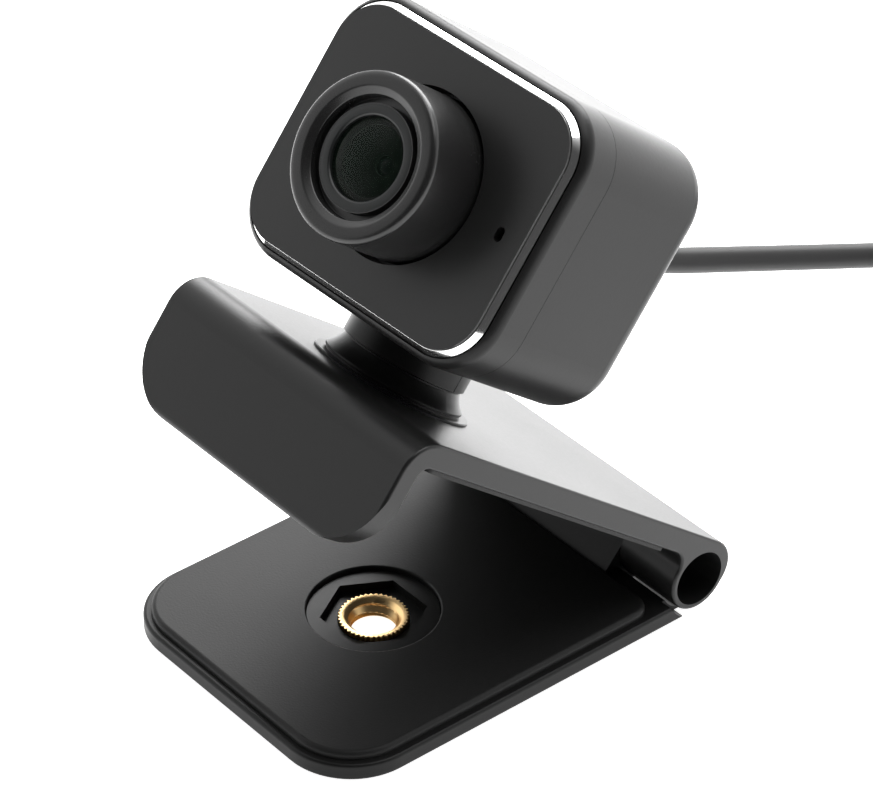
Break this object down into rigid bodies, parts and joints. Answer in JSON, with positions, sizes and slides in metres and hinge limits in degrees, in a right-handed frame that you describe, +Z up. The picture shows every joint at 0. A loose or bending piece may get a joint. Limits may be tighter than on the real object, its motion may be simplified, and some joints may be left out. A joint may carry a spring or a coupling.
{
  "type": "webcam with folding clip stand",
  "caption": "Rounded box webcam with a manual focus ring, turning on a folding monitor clip that also stands on a desk, with its cable and plug.",
  "frame": {"origin": "on the axis of the tripod thread, at the surface the base stands on", "axes": "+Z up, +X to the right as the webcam looks out, the lens faces -Y; the arm rises from its hinge at the back towards the front"},
  "size_m": [0.0591, 0.177, 0.0697],
  "materials": {
    "shell_plastic": "satin, light texture",
    "grip_rubber": "matt, fine grain",
    "brass": "turned, knurled",
    "steel": "plain",
    "bright_trim": "bright",
    "panel_gloss": "gloss",
    "black_plastic": "satin",
    "lens_metal": "satin",
    "lens_glass": "coated",
    "circuit_board": "solder mask",
    "cable_jacket": "matt jacket"
  },
  "bodies": {
    "arm": {"clip_arm": "shell_plastic", "arm_liner": "grip_rubber", "lip_pad": "grip_rubber", "hinge_pin": "steel", "pin_retainers": "steel", "swivel_base": "shell_plastic", "swivel_washer": "steel", "swivel_screw": "steel", "cable": "cable_jacket", "cable_coil": "cable_jacket", "cable_tie": "black_plastic", "cable_tail": "cable_jacket", "usb_overmould": "black_plastic", "usb_shell": "steel", "usb_contact_block": "black_plastic"},
    "base": {"base_plate": "shell_plastic", "foot_pad": "grip_rubber", "grip_pad": "grip_rubber", "threaded_insert": "brass", "friction_sleeve": "steel"},
    "head": {"swivel_collar_front": "shell_plastic", "swivel_collar_rear": "shell_plastic", "front_housing": "shell_plastic", "rear_housing": "shell_plastic", "trim_ring": "bright_trim", "face_panel": "panel_gloss", "lens_holder": "black_plastic", "ir_filter": "lens_glass", "sensor_board": "circuit_board", "image_sensor": "black_plastic", "board_chips": "black_plastic", "cable_connector": "black_plastic", "board_screws": "steel", "housing_screws": "steel", "microphone": "lens_metal", "mic_boot": "grip_rubber", "strain_relief": "grip_rubber"},
    "focus_ring": {"focus_ring": "black_plastic", "lens_cell": "black_plastic", "retaining_ring": "lens_metal", "front_glass": "lens_glass", "inner_glasses": "lens_glass"}
  },
  "joints": [
    {"name": "clip_hinge", "type": "hinge", "parent": "arm", "child": "base", "pos_m": [0, 0.03, 0.0042], "axis": [1, 0, 0], "range_deg": [-38, 65]},
    {"name": "head_swivel", "type": "hinge", "parent": "arm", "child": "head", "pos_m": [0, 0.00264, 0.03196], "axis": [0, 0.6239, 0.7815], "range_deg": [-90, 90], "deforming": ["cable"]},
    {"name": "focus_turn", "type": "hinge", "parent": "head", "child": "focus_ring", "pos_m": [0, 0.01587, 0.04853], "axis": [0.0724, -0.7795, 0.6222], "range_deg": [-150, 150]}
  ]
}
